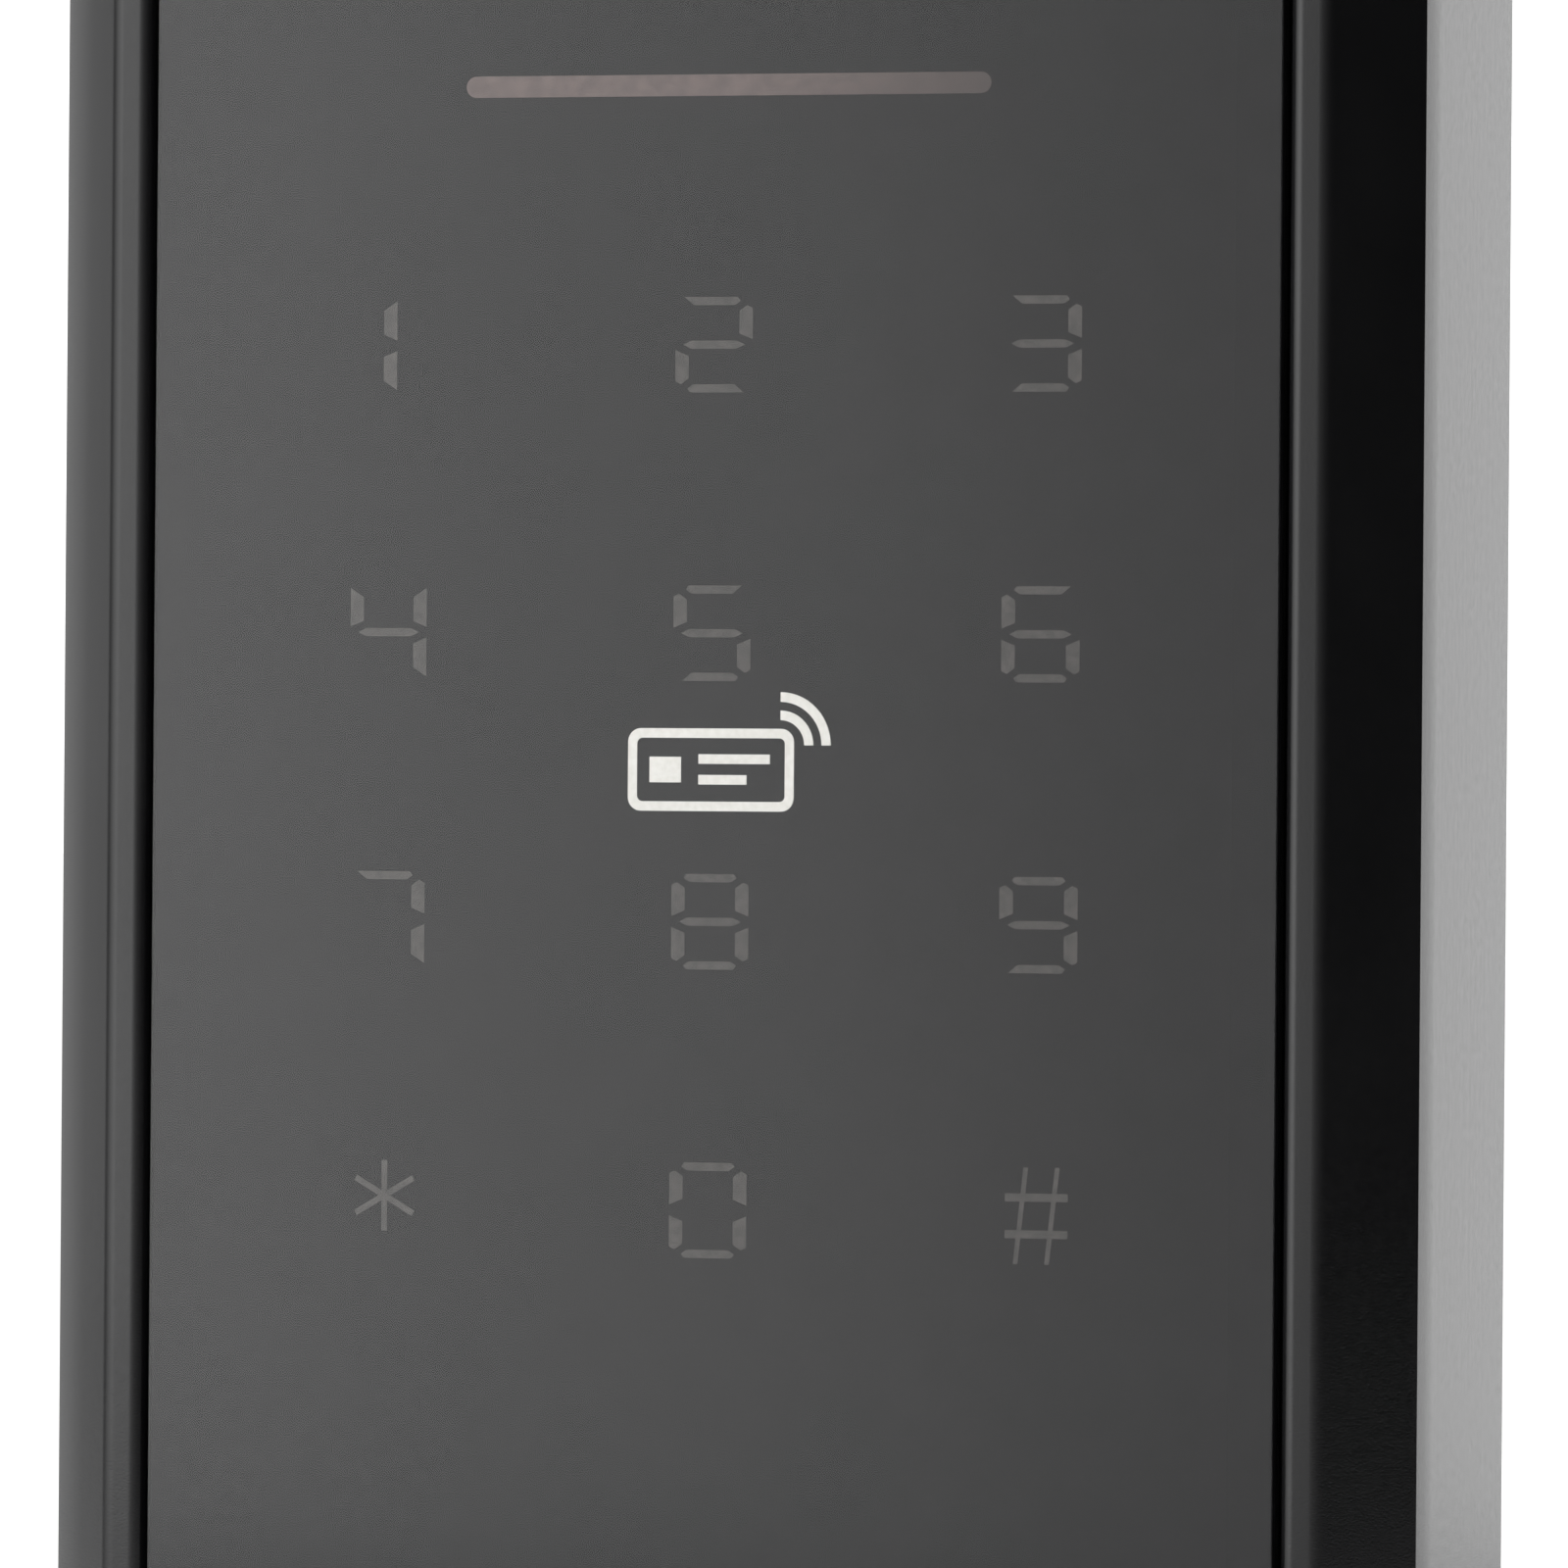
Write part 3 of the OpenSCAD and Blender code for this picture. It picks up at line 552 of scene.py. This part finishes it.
glassShape = {
    "sink": 0.02,            # the face lies this far behind the printed mark
    "clear": 0.03,           # space left behind it for the tape and the mask
    "arris": 0.06,           # ground edge
    "corner": 0.4,
    "border": 2.6,           # width of the black print round the back
    "borderCorner": 0.8,
    "steps": 8,              # faces round each corner
}
glassFace, blackPrint, glassBack = 0, 1, 2       # places of the glass's three materials
glassFinish = {
    "dark": (0.006, 0.006, 0.0065), "light": (0.0084, 0.0084, 0.0091), "blotch": 14,
    "rough": (0.1, 0.15), "haze": 0.6, "grain": 0.14, "depth": 0.0013,
    "fixed": {"IOR": 1.7, "Alpha": 0.5},
}
glassBackFinish = {
    "dark": (0.006, 0.006, 0.0065), "light": (0.0084, 0.0084, 0.0091), "blotch": 14,
    "rough": (0.12, 0.18), "haze": 0.6, "grain": 0.14, "depth": 0.001,
    "fixed": {"IOR": 1.45, "Alpha": 0.04},
}


def buildGlass(shape):
    low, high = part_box("touch_panel")
    halfW, halfH = high.x / mm, high.z / mm
    back, front = -high.y / mm + shape["clear"], frontDepth - shape["sink"]
    arris, corner, border = shape["arris"], shape["corner"], shape["border"]
    form = bmesh.new()

    def addLoop(inset, depth, radius):
        outline = roundLoop(halfW - inset, halfH - inset, radius, shape["steps"])
        return [form.verts.new((x * mm, -depth * mm, z * mm)) for x, z in outline]

    def addStrip(loop, following, material):
        for i in range(len(loop)):
            j = (i + 1) % len(loop)
            form.faces.new((loop[i], loop[j], following[j], following[i])).material_index = material

    loops = [addLoop(inset, depth, corner - inset) for inset, depth in (
        (arris / 2, back), (0, back + arris / 2), (0, front - arris),
        (arris * 0.3, front - arris * 0.3), (arris, front))]
    for index, (loop, following) in enumerate(zip(loops, loops[1:])):
        addStrip(loop, following, blackPrint if index < 2 else glassFace)    # the edge is printed too
    inner = addLoop(border, back, shape["borderCorner"])
    addStrip(inner, loops[0], blackPrint)
    form.faces.new(inner).material_index = glassBack
    form.faces.new(list(reversed(loops[-1]))).material_index = glassFace
    glass = makeObject("smokedGlass", form)
    smoothShade(glass, 20)
    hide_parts("touch_panel")
    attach(glass, "reader")
    return glass


def smokedGlass(name, look):
    surface, tree, shader = newSurface(name, **look["fixed"])
    tone = spread(tree, noise(tree, look["blotch"], 3), 0, 1)
    tree.links.new(blendColours(tree, tone, look["dark"], look["light"]), shader.inputs["Base Color"])
    low, high = look["rough"]
    haze = noise(tree, look["haze"], 5)
    tree.links.new(spread(tree, haze, low, high, 0.3, 0.7), shader.inputs["Roughness"])
    relief(tree, shader, noise(tree, look["grain"], 3), look["depth"])
    return surface


markInk = {
    "dark": (0.65, 0.64, 0.60), "light": (0.71, 0.70, 0.665), "blotch": 0.35,
    "rough": (0.4, 0.6), "grain": 0.09, "depth": 0.002, "rub": 0.0,
}
maskInk = {
    "dark": (0.006, 0.006, 0.0065), "light": (0.011, 0.011, 0.012), "blotch": 3,
    "rough": (0.55, 0.7), "grain": 0.12, "depth": 0.002, "rub": 0.0,
    "fixed": {"Specular IOR Level": 0.05},
}
borderInk = {
    "dark": (0.006, 0.006, 0.0065), "light": (0.011, 0.011, 0.012), "blotch": 3,
    "rough": (0.5, 0.65), "grain": 0.14, "depth": 0.0013, "rub": 0.0,
    "fixed": {"Specular IOR Level": 0.05},
}
legendFilm = {
    "dark": (0.166, 0.155, 0.145), "light": (0.239, 0.217, 0.203), "blotch": 0.45,
    "rough": (0.45, 0.6), "grain": 0.1, "depth": 0.003, "rub": 0.0,
}
barFilm = {
    "dark": (0.374, 0.285, 0.269), "light": (0.503, 0.374, 0.351), "blotch": 0.8,
    "rough": (0.45, 0.6), "grain": 0.1, "depth": 0.003, "rub": 0.0,
    "paintedShade": (2, 16, 0.47),       # painted shade: darkens to this share between two places across, in millimetres, standing in for light that falls off across the bar
}

glass = buildGlass(glassShape)
for surface in (smokedGlass("smokedGlass", glassFinish), plainSurface("borderInk", borderInk),
                smokedGlass("glassBack", glassBackFinish)):
    glass.data.materials.append(surface)
for look, title, name in ((markInk, "whiteInk", "card_mark"), (maskInk, "blackInk", "legend_mask"),
                          (legendFilm, "legendFilm", "key_legends"),
                          (barFilm, "barFilm", "light_bar_lens")):
    paint(plainSurface(title, look), name)
print("glass and legends done")

looks = {
    "platePlastic": {
        "pieces": ("wall_plate",), "rim": "wall_plate", "edge": 0.18,
        "dark": (0.020, 0.021, 0.023), "light": (0.030, 0.031, 0.034), "blotch": 11,
        "rough": (0.38, 0.52), "grain": 0.32, "depth": 0.007,
    },
    "coverPlastic": {
        "pieces": ("rear_cover",), "rim": "rear_cover", "edge": 0.15,
        "dark": (0.024, 0.025, 0.028), "light": (0.036, 0.037, 0.040), "blotch": 9,
        "rough": (0.36, 0.5), "grain": 0.28, "depth": 0.006,
    },
    "sealFoam": {
        "pieces": ("wall_gasket", "housing_seal"),
        "dark": (0.008, 0.008, 0.009), "light": (0.022, 0.022, 0.023), "blotch": 1.2,
        "rough": (0.8, 0.95), "grain": 0.35, "depth": 0.07,
    },
    "tapeFoam": {
        "pieces": ("panel_adhesive",),
        "dark": (0.007, 0.007, 0.008), "light": (0.014, 0.014, 0.015), "blotch": 1,
        "rough": (0.7, 0.9), "grain": 0.25, "depth": 0.03,
    },
    "diffuserFilm": {
        "pieces": ("diffuser_sheet",),
        "dark": (0.70, 0.70, 0.67), "light": (0.80, 0.80, 0.77), "blotch": 4,
        "rough": (0.45, 0.6), "grain": 0.15, "depth": 0.004,
    },
    "whitePlastic": {
        "pieces": ("key_light_box", "tamper_plunger"), "edge": 0.12,
        "dark": (0.66, 0.66, 0.63), "light": (0.76, 0.76, 0.73), "blotch": 5,
        "rough": (0.32, 0.48), "grain": 0.3, "depth": 0.008, "rub": 0.1,
    },
    "redPlastic": {
        "pieces": ("reset_button",), "edge": 0.1,
        "dark": (0.46, 0.035, 0.022), "light": (0.58, 0.05, 0.03), "blotch": 2,
        "rough": (0.25, 0.4), "grain": 0.2, "depth": 0.006,
    },
    "terminalPlastic": {
        "pieces": ("terminal_block",), "edge": 0.12,
        "dark": (0.022, 0.16, 0.065), "light": (0.032, 0.21, 0.09), "blotch": 4,
        "rough": (0.34, 0.5), "grain": 0.25, "depth": 0.01,
    },
    "switchPlastic": {
        "pieces": ("tamper_switch", "reset_switch", "board_link"), "edge": 0.1,
        "dark": (0.011, 0.012, 0.014), "light": (0.02, 0.021, 0.024), "blotch": 2,
        "rough": (0.35, 0.5), "grain": 0.2, "depth": 0.006,
    },
    "relayCase": {
        "pieces": ("door_relay",), "edge": 0.15,
        "dark": (0.62, 0.59, 0.51), "light": (0.72, 0.69, 0.61), "blotch": 4,
        "rough": (0.3, 0.45), "grain": 0.3, "depth": 0.006,
    },
    "chipEpoxy": {
        "pieces": ("controller_chip", "reader_chip"), "edge": 0.06,
        "dark": (0.010, 0.010, 0.011), "light": (0.018, 0.018, 0.019), "blotch": 1.5,
        "rough": (0.55, 0.7), "grain": 0.12, "depth": 0.008,
    },
    "buzzerCase": {
        "pieces": ("buzzer",), "edge": 0.15,
        "dark": (0.009, 0.009, 0.010), "light": (0.016, 0.016, 0.018), "blotch": 3,
        "rough": (0.4, 0.55), "grain": 0.25, "depth": 0.008,
    },
    "ferrite": {
        "pieces": ("ferrite_sheet", "power_coil"), "edge": 0.1,
        "dark": (0.035, 0.034, 0.036), "light": (0.07, 0.068, 0.07), "blotch": 1.5,
        "rough": (0.5, 0.7), "grain": 0.15, "depth": 0.012,
    },
    "ledGel": {
        "pieces": ("key_leds", "bar_leds"), "edge": 0.08,
        "dark": (0.78, 0.72, 0.42), "light": (0.86, 0.82, 0.6), "blotch": 0.7,
        "rough": (0.2, 0.35), "grain": 0.2, "depth": 0.004, "rub": 0.0,
    },
    "canAluminium": {
        "pieces": ("capacitors", "crystal"), "edge": 0.12,
        "dark": (0.62, 0.63, 0.65), "light": (0.75, 0.76, 0.78), "blotch": 2,
        "rough": (0.24, 0.4), "grain": 0.3, "depth": 0.003, "fixed": {"Metallic": 1.0},
    },
    "zincSteel": {
        "pieces": ("terminal_screws", "board_screws", "cover_screws", "captive_nut"), "edge": 0.06,
        "dark": (0.50, 0.50, 0.52), "light": (0.68, 0.68, 0.69), "blotch": 0.8,
        "rough": (0.24, 0.42), "grain": 0.14, "depth": 0.004, "fixed": {"Metallic": 1.0},
    },
    "stainless": {
        "pieces": ("security_screw", "tamper_spring"), "edge": 0.05,
        "dark": (0.44, 0.44, 0.45), "light": (0.58, 0.58, 0.59), "blotch": 1.2,
        "rough": (0.2, 0.34), "grain": 0.1, "depth": 0.002, "fixed": {"Metallic": 1.0},
    },
    "brass": {
        "pieces": ("threaded_inserts",), "edge": 0.06,
        "dark": (0.60, 0.40, 0.12), "light": (0.76, 0.55, 0.22), "blotch": 1,
        "rough": (0.22, 0.38), "grain": 0.2, "depth": 0.004, "fixed": {"Metallic": 1.0},
    },
}

for title, look in looks.items():
    paint(plainSurface(title, look), *look["pieces"])
    if "edge" in look:
        for name in look["pieces"]:
            softenEdges(name, look["edge"])
print("plastics, foams and metals done")

boardLook = {
    "mask": (0.012, 0.085, 0.035), "trace": (0.022, 0.14, 0.055),
    "pitch": 1.3, "patch": 7, "blotch": 18, "rough": (0.28, 0.42),
    "fixed": {"Coat Weight": 0.5, "Coat Roughness": 0.15},
}
copperLook = {
    "dark": (0.50, 0.20, 0.09), "light": (0.72, 0.33, 0.16), "turn": 0.42,
    "rough": (0.28, 0.42), "fixed": {"Metallic": 1.0},
}


def solderMask(look):
    # green lacquer with the copper tracks showing through it in level and upright runs
    surface, tree, shader = newSurface("solderMask", **look["fixed"])
    spot = place(tree)
    patch = spread(tree, noise(tree, look["patch"], 1), 0, 1, 0.46, 0.5)
    bands = [addNode(tree, "ShaderNodeTexWave",
                     {"Vector": spot, "Scale": 1 / (look["pitch"] * 2 * pi) * 3, "Distortion": 0.0},
                     bands_direction=axis).outputs[1] for axis in ("X", "Z")]
    runs = blendColours(tree, patch, bands[0], bands[1])
    track = spread(tree, runs, 0, 1, 0.7, 0.8)
    colour = blendColours(tree, track, look["mask"], look["trace"])
    uneven = spread(tree, noise(tree, look["blotch"], 3), 0, 0.35)
    dull = tuple(0.6 * part for part in look["mask"])
    tree.links.new(blendColours(tree, uneven, colour, dull), shader.inputs["Base Color"])
    low, high = look["rough"]
    tree.links.new(spread(tree, noise(tree, 1.1, 4), low, high), shader.inputs["Roughness"])
    relief(tree, shader, track, 0.02, 0.6)
    return surface


def woundCopper(look, name):
    # fine turns of wire that run along the coil's sides
    surface, tree, shader = newSurface("woundCopper", **look["fixed"])
    inward = rimDistance(tree, name)
    wire = calculate(tree, "SINE", calculate(tree, "MULTIPLY", inward, 2 * pi / (look["turn"] * mm)))
    tone = calculate(tree, "MULTIPLY_ADD", wire, 0.4, noise(tree, 3, 3))
    tree.links.new(blendColours(tree, spread(tree, tone, 0, 1, 0.1, 0.9), look["dark"], look["light"]),
                   shader.inputs["Base Color"])
    low, high = look["rough"]
    tree.links.new(spread(tree, noise(tree, 0.8, 3), low, high), shader.inputs["Roughness"])
    relief(tree, shader, wire, 0.12)
    return surface


paint(solderMask(boardLook), "main_board", "touch_board")
for name in ("main_board", "touch_board"):
    softenEdges(name, 0.1)
paint(woundCopper(copperLook, "antenna_coil"), "antenna_coil")
electrodeLook = {
    "dark": (0.55, 0.27, 0.13), "light": (0.70, 0.38, 0.2), "blotch": 2.5,
    "rough": (0.3, 0.45), "grain": 0.2, "depth": 0.003, "fixed": {"Metallic": 1.0},
}
paint(plainSurface("electrodeCopper", electrodeLook), "touch_electrodes")
print("boards and copper done")

studio = {
    "floorDrop": 0.0002,     # metres under the lowest point
    "floorSize": 12,
    "paper": ((0.86, 0.86, 0.86), (0.88, 0.88, 0.88)),
    "sky": 1.35,             # brightness of the open top
    "tentRadius": 0.30,
    "tentHeight": 0.34,
    "tentFoot": 0.0005,      # metres over the lowest point
    "tentPanels": 180,
    # brightness of the tent's wall by bearing, in degrees from straight ahead of the face,
    # counted towards the reader's left as it is seen from the front
    "tentGlow": {
        -180: 1.97, -157: 1.94, -147: 1.18, -137: 0.58, -122: 0.36, -104: 0.16, -92: 0.05,
        -66: 0.038, -48: 0.07, -35: 0.17, -15: 0.4, 0: 0.8, 10: 1.38, 18: 2.25, 26: 3.15,
        36: 3.7, 52: 2.6, 66: 1.5, 75: 0.6, 84: 0.42, 92: 0.68, 103: 1.0, 112: 1.32,
        135: 1.76, 180: 1.97,
    },
}


def glowAt(bearing, table):
    stops = sorted(table)
    for low, high in zip(stops, stops[1:]):
        if low <= bearing <= high:
            share = (bearing - low) / (high - low)
            return table[low] + (table[high] - table[low]) * share * share * (3 - 2 * share)
    return table[stops[-1]]


def addTent(look):
    # a round white light tent with an uneven glow; the camera looks through it
    columns = look["tentPanels"]
    form = bmesh.new()
    glow = []
    rows = []
    for z in (cadBox[0].z + look["tentFoot"], look["tentHeight"]):
        row = []
        for column in range(columns):
            turn = -pi + 2 * pi * column / columns
            row.append(form.verts.new((-sin(turn) * look["tentRadius"],
                                       -cos(turn) * look["tentRadius"], z)))
            glow.append(glowAt(turn * 180 / pi, look["tentGlow"]))
        rows.append(row)
    for i in range(columns):
        j = (i + 1) % columns
        form.faces.new((rows[0][i], rows[0][j], rows[1][j], rows[1][i]))
    tent = makeObject("lightTent", form)
    attribute = tent.data.attributes.new("glow", "FLOAT", "POINT")
    attribute.data.foreach_set("value", glow)
    surface = bpy.data.materials.new("tentGlow")
    surface.use_nodes = True
    tree = surface.node_tree
    tree.nodes.clear()
    amount = addNode(tree, "ShaderNodeAttribute", attribute_name="glow").outputs["Fac"]
    lamp = addNode(tree, "ShaderNodeEmission", {"Strength": amount})
    addNode(tree, "ShaderNodeOutputMaterial", {"Surface": lamp.outputs[0]})
    tent.data.materials.append(surface)
    tent.visible_camera = False


def addFloor(look):
    form = bmesh.new()
    bmesh.ops.create_grid(form, x_segments=4, y_segments=4, size=look["floorSize"])
    bmesh.ops.translate(form, verts=form.verts, vec=(0, 0, cadBox[0].z - look["floorDrop"]))
    ground = makeObject("studioFloor", form)
    surface, tree, shader = newSurface("palePaper", **{"Roughness": 0.9, "Specular IOR Level": 0.1})
    pulp = spread(tree, noise(tree, 2.5, 4), 0, 1)
    tree.links.new(blendColours(tree, pulp, *look["paper"]), shader.inputs["Base Color"])
    relief(tree, shader, noise(tree, 0.6, 3), 0.02)
    ground.data.materials.append(surface)


def addSky(look):
    world = bpy.data.worlds.new("studioSky")
    scene.world = world
    world.use_nodes = True
    backdrop = world.node_tree.nodes["Background"]
    backdrop.inputs["Color"].default_value = (1, 1, 1, 1)
    backdrop.inputs["Strength"].default_value = look["sky"]


addTent(studio)
addFloor(studio)
addSky(studio)
scene.view_settings.view_transform = "Standard"
scene.view_settings.look = "None"
print("studio lit")
